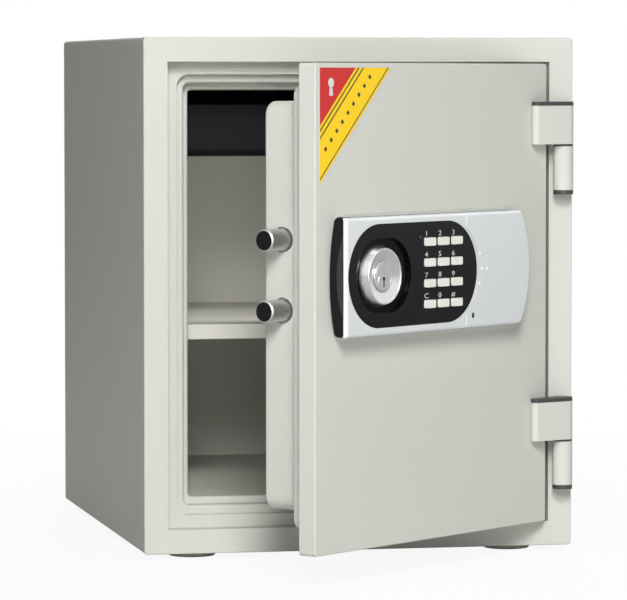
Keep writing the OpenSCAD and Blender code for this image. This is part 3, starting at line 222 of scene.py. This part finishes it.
# Black of the door seal's rubber, and of the painted shade in the pry hole, the keyhole and the
# seam round the lock cylinder
rubber_and_shade_black = finish_material("seal_rubber_and_shade", (0.02, 0.02, 0.02), 0.75, tint=0.15, grain=1300.0,
                         grain_strength=0.2)
foot_rubber = finish_material("foot_rubber", (0.6, 0.6, 0.55), 0.7, tint=0.08, grain_strength=0.2)
dark_plastic = finish_material("dark_plastic", (0.045, 0.046, 0.047), 0.42, tint=0.08, grain=1200.0,
                               grain_strength=0.12, edge=0.0006)
drawer_plastic = finish_material("drawer_plastic", (0.006, 0.006, 0.008), 0.5, tint=0.1,
                                 grain=1500.0, grain_strength=0.2, edge=0.0006,
                                 Specular_IOR_Level=0.13)
black_gloss = finish_material("black_gloss", (0.006, 0.0062, 0.0075), 0.2, tint=0.1, grain=600.0,
                              grain_strength=0.015, spread_by=0.03, Specular_IOR_Level=0.2)
black_bowl = finish_material("black_bowl", (0.003, 0.003, 0.0035), 0.16, tint=0.1, grain=600.0,
                             grain_strength=0.01, spread_by=0.02, edge=0.0007,
                             Specular_IOR_Level=0.12)
silver = finish_material("silver_lacquer", (0.87, 0.9, 0.905), 0.34, metallic=0.5, tint=0.015,
                         grain=2600.0, grain_strength=0.1, spread_by=0.04, Coat_Weight=0.25,
                         Coat_Roughness=0.12)
base_silver = finish_material("silver_base", (0.6, 0.62, 0.59), 0.36, metallic=0.5, grain=2600.0,
                              grain_strength=0.1, spread_by=0.04)
knob_chrome = turned_material("satin_chrome", (0.74, 0.75, 0.75), 0.26,
                              on_door(KNOB_X, -PANEL_T, LOCK_Z), is_rod=False, scale=2200.0,
                              strength=0.35)
plug_chrome = turned_material("plug_chrome", (0.7, 0.71, 0.71), 0.3,
                              on_door(KNOB_X, -PANEL_T, LOCK_Z - PLUG_DROP), is_rod=False,
                              scale=1800.0, strength=0.3)
board = finish_material("circuit_board", (0.02, 0.12, 0.045), 0.4, tint=0.12, tint_scale=80.0)
lamp = finish_material("status_lamp", (0.03, 0.02, 0.02), 0.15, tint=0.05, grain=300.0,
                       Transmission_Weight=0.3)
battery = finish_material("battery_wrap", (0.06, 0.075, 0.1), 0.35, metallic=0.3, tint=0.1,
                          tint_scale=60.0)
key_cream = finish_material("key_cream", (0.88, 0.87, 0.8), 0.4, tint=0.015, grain=1400.0,
                            grain_strength=0.1, edge=0.0006)
print_white = finish_material("print_white", (0.72, 0.72, 0.7), 0.5, tint=0.02)
# White of the pips, and of the painted highlight beside the battery cover's seam
pip_white_and_highlight = finish_material("pip_white_and_highlight", (0.96, 0.96, 0.95), 0.3, tint=0.01, edge=0.0002)
label_yellow = finish_material("label_yellow", (1.0, 0.66, 0.0), 0.32, tint=0.015, grain=1500.0,
                               grain_strength=0.03)
label_red = finish_material("label_red", (0.62, 0.012, 0.012), 0.32, tint=0.02, grain=1500.0,
                            grain_strength=0.03)
label_black = finish_material("label_black", (0.012, 0.011, 0.01), 0.32, tint=0.05, grain=1500.0,
                              grain_strength=0.03)

NODE_MATERIALS = {
    paint: ["outer_shell", "back_cover", "door_frame", "fixed_hinges", "door_plate", "door_step",
            "plug_pan", "hinge_leaves"],
    liner_paint_lightened: ["inner_liner", "shelf", "shelf_supports"],
    steel: ["back_screws", "strike_box", "drawer_runners", "foot_screws", "hinge_pins",
            "pan_screws", "lock_plate", "bolt_guide", "bolt_bar", "bolt_rivets",
            "solenoid_bracket", "solenoid_plunger", "spindle", "crank"],
    bolt_steel: ["bolts"],
    filling: ["body_filling", "door_filling"],
    rubber_and_shade_black: ["door_seal"],
    foot_rubber: ["feet"],
    dark_plastic: ["hinge_bottom_caps", "hinge_washers", "hinge_top_caps", "solenoid",
                   "battery_tray"],
    drawer_plastic: ["drawer"],
    black_gloss: ["panel_inlay", "panel_end_cap"],
    black_bowl: ["knob_collar"],
    silver: ["panel_cover", "battery_cover"],
    base_silver: ["panel_base"],
    knob_chrome: ["knob", "cylinder_housing"],
    plug_chrome: ["cylinder_plug"],
    board: ["circuit_board"],
    lamp: ["status_lamp"],
    battery: ["batteries"],
    key_cream: KEYS,
}
for material, names in NODE_MATERIALS.items():
    for name in names:
        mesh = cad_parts[name].data
        mesh.materials.clear()
        mesh.materials.append(material)


# ---- Pieces ----

# Edges sharper than this stay sharp
SHARP_ANGLE = math.radians(35)


def smooth_by_angle(mesh):
    """Smooth shading, with sharp edges above an angle."""
    edit = bmesh.new()
    edit.from_mesh(mesh)
    for face in edit.faces:
        face.smooth = True
    for edge in edit.edges:
        if len(edge.link_faces) == 2:
            edge.smooth = edge.calc_face_angle(0.0) < SHARP_ANGLE
    edit.to_mesh(mesh)
    edit.free()


def piece(name, draw, body, material):
    """An object that rides on a body; draw(edit) draws it on the door, in mm."""
    edit = bmesh.new()
    draw(edit)
    mesh = bpy.data.meshes.new(name)
    bmesh.ops.recalc_face_normals(edit, faces=edit.faces)
    edit.to_mesh(mesh)
    edit.free()
    mesh.transform(DOOR)
    smooth_by_angle(mesh)
    mesh.materials.append(material)
    item = bpy.data.objects.new(name, mesh)
    bpy.context.scene.collection.objects.link(item)
    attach(item, body)


def strip_faces(edit, first, second):
    """Closes the strip between two rows of points that each run round."""
    count = len(first)
    for k in range(count):
        following = (k + 1) % count
        edit.faces.new((first[k], first[following], second[following], second[k]))


def outline_row(edit, points, y):
    """Points of a flat outline, given in (x, z), at a distance y."""
    return [edit.verts.new((x, y, z)) for x, z in points]


def outline_slab(edit, points, front, back):
    """Adds a slab over a flat outline given in (x, z), from y = front to y = back."""
    rows = [outline_row(edit, points, y) for y in (front, back)]
    strip_faces(edit, *rows)
    for row in rows:
        edit.faces.new(row)


def disc_points(x, z, r, count=32):
    return [(x + r * math.cos(2 * math.pi * k / count), z + r * math.sin(2 * math.pi * k / count))
            for k in range(count)]


def rectangle_points(x0, z0, x1, z1):
    return [(x0, z0), (x1, z0), (x1, z1), (x0, z1)]


def dome(edit, centre, axis, r, height, rings, count):
    """Adds a shallow closed dome with a flat base, whose top points along axis."""
    turn = Vector((0, 0, 1)).rotation_difference(Vector(axis)).to_matrix().to_4x4()
    place = Matrix.Translation(centre) @ turn
    rows = []
    for k in range(rings):
        angle = math.pi / 2 * k / rings
        rows.append([edit.verts.new(place @ Vector((x, y, height * math.sin(angle))))
                     for x, y in disc_points(0, 0, r * math.cos(angle), count)])
    top = edit.verts.new(place @ Vector((0, 0, height)))
    for low_row, high_row in zip(rows, rows[1:]):
        strip_faces(edit, low_row, high_row)
    for k in range(count):
        edit.faces.new((rows[-1][k], rows[-1][(k + 1) % count], top))
    edit.faces.new(rows[0])


# Dark ends of the two bolts: a painted dark reflection on their polished steel ends
def draw_bolt_ends(edit):
    for z in BOLT_ZS:
        dome(edit, (BOLT_X0, BOLT_Y, z), (-1, 0, 0), BOLT_END_R, BOLT_END_H, rings=5, count=40)


piece("bolt_ends", draw_bolt_ends, "bolts", bolt_end_reflection)


# Key legends: printed on the keypad above each key, at a shift from the key's middle
LEGEND_SIZE = 5.6
LEGEND_STRETCH = 1.55
LEGEND_SHIFT = (-3.9, 6.1)
LEGEND_LIFT = 0.02
LEGEND_T, LEGEND_BOLDER = 0.03, 0.02


def legend(name, text, x, z):
    curve = bpy.data.curves.new(name, "FONT")
    curve.body = text
    curve.size = LEGEND_SIZE
    curve.align_x = "CENTER"
    curve.align_y = "CENTER"
    curve.extrude = LEGEND_T
    curve.resolution_u = 3
    curve.offset = LEGEND_BOLDER
    item = bpy.data.objects.new(name, curve)
    bpy.context.scene.collection.objects.link(item)
    bpy.context.view_layer.update()
    depsgraph = bpy.context.evaluated_depsgraph_get()
    mesh = bpy.data.meshes.new_from_object(item.evaluated_get(depsgraph))
    bpy.data.objects.remove(item)
    mesh.transform(DOOR @ Matrix.Translation((x, -PANEL_T - LEGEND_LIFT, z))
                   @ Matrix.Rotation(math.pi / 2, 4, "X")
                   @ Matrix.Diagonal((LEGEND_STRETCH, 1.0, 1.0, 1.0)))
    mesh.materials.clear()
    mesh.materials.append(print_white)
    item = bpy.data.objects.new(name, mesh)
    bpy.context.scene.collection.objects.link(item)
    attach(item, "door")


for k, text in enumerate(LEGENDS):
    row, column = divmod(k, KEY_COLUMNS)
    legend("legend_%d" % k, text, KEY_X0 + column * KEY_PITCH[0] + LEGEND_SHIFT[0],
           KEY_Z0 - row * KEY_PITCH[1] + LEGEND_SHIFT[1])


# Label in the door's upper corner: a generic design of stripes, a keyhole and small diamonds.
# Its long side runs from its upper right to its lower left, and bands lie parallel to it.
LABEL_CORNER = (26.8, 387.4)
LABEL_SIZE = (90.0, 87.0)
LABEL_FRONT, LABEL_BACK = -0.1, 0.02
# Prints start inside the label and stand a little proud of it
PRINT_FRONT, PRINT_BACK = -0.12, -0.02
# Nearest and furthest distance of each band from the corner, as a share of the label
RED_BAND = (0.0, 0.5)
BLACK_BANDS = [(0.535, 0.555), (0.6, 0.62), (0.955, 0.97)]
DIAMONDS = 9
DIAMOND_HALF = 2.1
DIAMOND_U0, DIAMOND_STEP, DIAMOND_LINE = 0.08, 0.0775, 0.78
MARK_UV = 0.155
MARK_HEAD_R, MARK_HEAD_RISE = 3.6, 2.2
MARK_NECK_HALF, MARK_FOOT_HALF = 1.2, 2.6
MARK_NECK_RISE, MARK_FOOT_DROP = 1, 7.5
MARK_HEAD_FRONT, MARK_FOOT_FRONT = -0.14, -0.145


def label_point(u, v):
    """Place on the label: u along its upper edge and v down its left edge, each from 0 to 1."""
    return LABEL_CORNER[0] + u * LABEL_SIZE[0], LABEL_CORNER[1] - v * LABEL_SIZE[1]


def label_band(edit, near, far):
    """Band parallel to the long side; one that starts at the corner is a triangle."""
    points = [label_point(near, 0), label_point(far, 0), label_point(0, far), label_point(0, near)]
    outline_slab(edit, points if near else points[1:], PRINT_FRONT, PRINT_BACK)


def draw_label_base(edit):
    outline_slab(edit, [label_point(0, 0), label_point(1, 0), label_point(0, 1)], LABEL_FRONT,
                 LABEL_BACK)


def draw_red(edit):
    label_band(edit, *RED_BAND)


def draw_black(edit):
    for band in BLACK_BANDS:
        label_band(edit, *band)
    for k in range(DIAMONDS):
        u = DIAMOND_U0 + DIAMOND_STEP * k
        x, z = label_point(u, DIAMOND_LINE - u)
        outline_slab(edit, [(x - DIAMOND_HALF, z), (x, z - DIAMOND_HALF), (x + DIAMOND_HALF, z),
                            (x, z + DIAMOND_HALF)], PRINT_FRONT, PRINT_BACK)


def draw_mark(edit):
    """The keyhole: a round head and a foot, whose fronts lie a little apart where they overlap."""
    x, z = label_point(MARK_UV, MARK_UV)
    outline_slab(edit, disc_points(x, z + MARK_HEAD_RISE, MARK_HEAD_R), MARK_HEAD_FRONT,
                 PRINT_BACK)
    outline_slab(edit, [(x - MARK_NECK_HALF, z + MARK_NECK_RISE),
                        (x + MARK_NECK_HALF, z + MARK_NECK_RISE),
                        (x + MARK_FOOT_HALF, z - MARK_FOOT_DROP),
                        (x - MARK_FOOT_HALF, z - MARK_FOOT_DROP)], MARK_FOOT_FRONT, PRINT_BACK)


for name, draw, material in (("label_base", draw_label_base, label_yellow),
                             ("label_corner", draw_red, label_red),
                             ("label_lines", draw_black, label_black),
                             ("label_keyhole", draw_mark, print_white)):
    piece(name, draw, "door", material)


# Battery cover: four small pips, a painted highlight beside its seam, and the painted shade in the
# depth of its pry hole
PIPS = [(214.7, 242.4), (217.6, 230.4), (225.1, 230.1), (214.8, 219.0)]
PIP_R, PIP_H, PIP_SUNK = 1.35, 0.5, 0.02
HIGHLIGHT_X0, HIGHLIGHT_X1 = SEAM_X + 0.2, SEAM_X + 0.9
# Nearest and furthest distance of the painted highlight from the lock's axis, above and below it
HIGHLIGHT_NEAR, HIGHLIGHT_FAR = 33.9, 42.4
HIGHLIGHT_FRONT, HIGHLIGHT_BACK = -PANEL_T - 0.2, -PANEL_T + 0.1
PRY_X, PRY_Z = SEAM_X + 9.5, LOCK_Z - 35.6
PRY_HALF_H = 0.5
# The painted shade is a little smaller than the hole, and starts a little behind the cover's face
PRY_DEPTH_R = 1.74
PRY_DEPTH_FRONT, PRY_DEPTH_BACK = -PANEL_T + 0.25, -14.0


def draw_pips(edit):
    for x, z in PIPS:
        dome(edit, (x, -PANEL_T + PIP_SUNK, z), (0, -1, 0), PIP_R, PIP_H, rings=4, count=20)


# Painted highlight: a bright strip beside the seam, where the cover's edge catches light
def draw_seam_highlight(edit):
    for z in (LOCK_Z - HIGHLIGHT_FAR, LOCK_Z + HIGHLIGHT_NEAR):
        outline_slab(edit, rectangle_points(HIGHLIGHT_X0, z, HIGHLIGHT_X1, z + HIGHLIGHT_FAR - HIGHLIGHT_NEAR),
                     HIGHLIGHT_FRONT, HIGHLIGHT_BACK)


# Painted shade: a dark slab in the pry hole
def draw_pry_shade(edit):
    outline = [(x, z + math.copysign(PRY_HALF_H, z - PRY_Z))
               for x, z in disc_points(PRY_X, PRY_Z, PRY_DEPTH_R)]
    outline_slab(edit, outline, PRY_DEPTH_FRONT, PRY_DEPTH_BACK)


piece("cover_pips", draw_pips, "battery_cover", pip_white_and_highlight)
piece("seam_highlight", draw_seam_highlight, "battery_cover", pip_white_and_highlight)
piece("pry_shade", draw_pry_shade, "battery_cover", rubber_and_shade_black)


# Painted shade: a dark ring in the seam round the lock cylinder, and a dark slab in the depth of
# its keyhole
SEAM_T = 18.5
SEAM_FRONT, SEAM_BACK = -SEAM_T - 0.03, -SEAM_T + 0.01
SEAM_R0, SEAM_R1 = 11.64, 11.95
SEAM_POINTS = 96
KEYHOLE_RISE = 2
KEYHOLE_Z = LOCK_Z - PLUG_DROP + KEYHOLE_RISE
# The painted shade is a little smaller than the keyhole; the slot lies inside the round part's
# front and back
KEYHOLE_DEPTH_R = 1.66
KEYHOLE_DEPTH_HALF_W = 0.77
KEYHOLE_DEPTH_Z0 = LOCK_Z - 8.15
KEYHOLE_ROUND_Y = (-19.72, -17.0)
KEYHOLE_SLOT_Y = (-19.7, -17.05)


def draw_cylinder_seam_shade(edit):
    rows = [outline_row(edit, disc_points(KNOB_X, LOCK_Z, r, SEAM_POINTS), y)
            for r, y in ((SEAM_R0, SEAM_FRONT), (SEAM_R1, SEAM_FRONT), (SEAM_R1, SEAM_BACK),
                         (SEAM_R0, SEAM_BACK))]
    for first, second in zip(rows, rows[1:] + rows[:1]):
        strip_faces(edit, first, second)


def draw_keyhole_shade(edit):
    outline_slab(edit, disc_points(KNOB_X, KEYHOLE_Z, KEYHOLE_DEPTH_R), *KEYHOLE_ROUND_Y)
    outline_slab(edit, rectangle_points(KNOB_X - KEYHOLE_DEPTH_HALF_W, KEYHOLE_DEPTH_Z0,
                                        KNOB_X + KEYHOLE_DEPTH_HALF_W, KEYHOLE_Z),
                 *KEYHOLE_SLOT_Y)


piece("cylinder_seam_shade", draw_cylinder_seam_shade, "knob", rubber_and_shade_black)
piece("keyhole_shade", draw_keyhole_shade, "cylinder_plug", rubber_and_shade_black)


# ---- Stage, camera and light ----

WHITE = (1, 1, 1, 1)
WORLD_LIGHT = 0.03
# Reflections of what lies behind the safe are grey, as of a backdrop
BACKDROP_SHADE = 0.2
BACKDROP_TO = (-0.2, 0.98, 0.0)
BACKDROP_SPAN = (0.35, 0.9)

FLOOR_HALF = 8.0
FLOOR_GREY = 0.82
# Share of plain white in what the camera sees of the floor: less near the safe, where its
# shadow shows
FLOOR_WHITENESS = (0.92, 1.0)
FLOOR_FADE = (0.25, 1.1)

MIDDLE = (0.0, 0.0, 0.2)
LAMPS = [
    # name, place in m, aims at, size in m, power in W
    ("key_box", (-0.7, -3.05, 1.35), MIDDLE, 0.6, 22.0),
    ("high_box", (-0.34, -2.65, 1.9), MIDDLE, 0.8, 52.0),
    ("right_box", (2.2, -2.0, 1.2), (0.0, -0.2, 0.2), 1.2, 3.5),
    ("low_box", (-0.5, -2.4, 0.1), MIDDLE, 0.5, 5.5),
    ("left_box", (-0.36, -1.1, 0.6), (-0.1, -0.25, 0.2), 0.4, 1.0),
    ("top_box", (0.35, -0.1, 2.4), MIDDLE, 0.8, 6.0),
    ("back_box", (0.5, 2.6, 1.3), MIDDLE, 1.0, 24.0),
    ("inner_box", (-0.04, 0.0, 0.27), (-0.08, 0.3, 0.24), 0.14, 0.08),
]

# The camera, as fitted to the photograph
IMAGE_W = 627
FOCAL_PX = 4012.7
SENSOR_W = 36.0
CAMERA_PLACE = (-0.7019, -3.2484, 0.3860)
YAW, PITCH = math.radians(11.932), math.radians(3.193)


def make_world():
    """White for the camera, white or backdrop for mirrors, and a dim light on all else."""
    world = bpy.data.worlds.new("studio")
    bpy.context.scene.world = world
    world.use_nodes = True
    tree = world.node_tree
    tree.nodes.clear()
    rays = add(tree, "ShaderNodeLightPath").outputs
    towards = add(tree, "ShaderNodeTexCoord").outputs["Generated"]
    behind = vector_maths(tree, "DOT_PRODUCT", towards, BACKDROP_TO)["Value"]
    backdrop = map_range(tree, behind, (1.0, BACKDROP_SHADE), BACKDROP_SPAN)
    direct = maths(tree, "MAXIMUM", rays["Is Camera Ray"], rays["Is Transmission Ray"])
    mirrored = maths(tree, "MULTIPLY", rays["Is Glossy Ray"], backdrop)
    strength = maths(tree, "MAXIMUM", maths(tree, "MAXIMUM", direct, mirrored), WORLD_LIGHT)
    sky = add(tree, "ShaderNodeBackground", Color=WHITE, Strength=strength)
    add(tree, "ShaderNodeOutputWorld", Surface=sky.outputs["Background"])


def make_floor():
    """A pale floor that turns to plain white away from the safe, for the camera alone."""
    mesh = bpy.data.meshes.new("floor")
    edit = bmesh.new()
    bmesh.ops.create_grid(edit, x_segments=1, y_segments=1, size=FLOOR_HALF)
    edit.to_mesh(mesh)
    edit.free()
    floor = bpy.data.objects.new("floor", mesh)
    bpy.context.scene.collection.objects.link(floor)
    material, tree, shader = new_material(
        "floor_white", Base_Color=(FLOOR_GREY, FLOOR_GREY, FLOOR_GREY, 1), Roughness=0.8)
    rays = add(tree, "ShaderNodeLightPath").outputs
    glow = add(tree, "ShaderNodeEmission", Color=WHITE, Strength=1.0)
    distance = vector_maths(tree, "LENGTH", object_point(tree))["Value"]
    whiteness = map_range(tree, distance, FLOOR_WHITENESS, FLOOR_FADE)
    share = maths(tree, "MULTIPLY", rays["Is Camera Ray"], whiteness)
    mix = add_in_order(tree, "ShaderNodeMixShader", None, share, shader.outputs["BSDF"],
                       glow.outputs["Emission"])
    tree.links.new(mix.outputs["Shader"], tree.nodes["Material Output"].inputs["Surface"])
    mesh.materials.append(material)


def make_lamp(name, place, aim, size, power):
    data = bpy.data.lights.new(name, "AREA")
    data.shape = "DISK"
    data.size = size
    data.energy = power
    item = bpy.data.objects.new(name, data)
    item.location = place
    item.rotation_euler = (Vector(aim) - Vector(place)).to_track_quat("-Z", "Y").to_euler()
    item.visible_camera = False
    bpy.context.scene.collection.objects.link(item)


def make_camera():
    data = bpy.data.cameras.new("camera")
    data.sensor_fit = "HORIZONTAL"
    data.sensor_width = SENSOR_W
    data.lens = FOCAL_PX / IMAGE_W * SENSOR_W
    data.clip_end = 60.0
    camera = bpy.data.objects.new("camera", data)
    camera.location = CAMERA_PLACE
    look = Vector((math.sin(YAW) * math.cos(PITCH), math.cos(YAW) * math.cos(PITCH),
                   -math.sin(PITCH)))
    camera.rotation_euler = look.to_track_quat("-Z", "Y").to_euler()
    bpy.context.scene.collection.objects.link(camera)
    bpy.context.scene.camera = camera


make_world()
make_floor()
for settings in LAMPS:
    make_lamp(*settings)
make_camera()
bpy.context.scene.view_settings.view_transform = "Standard"
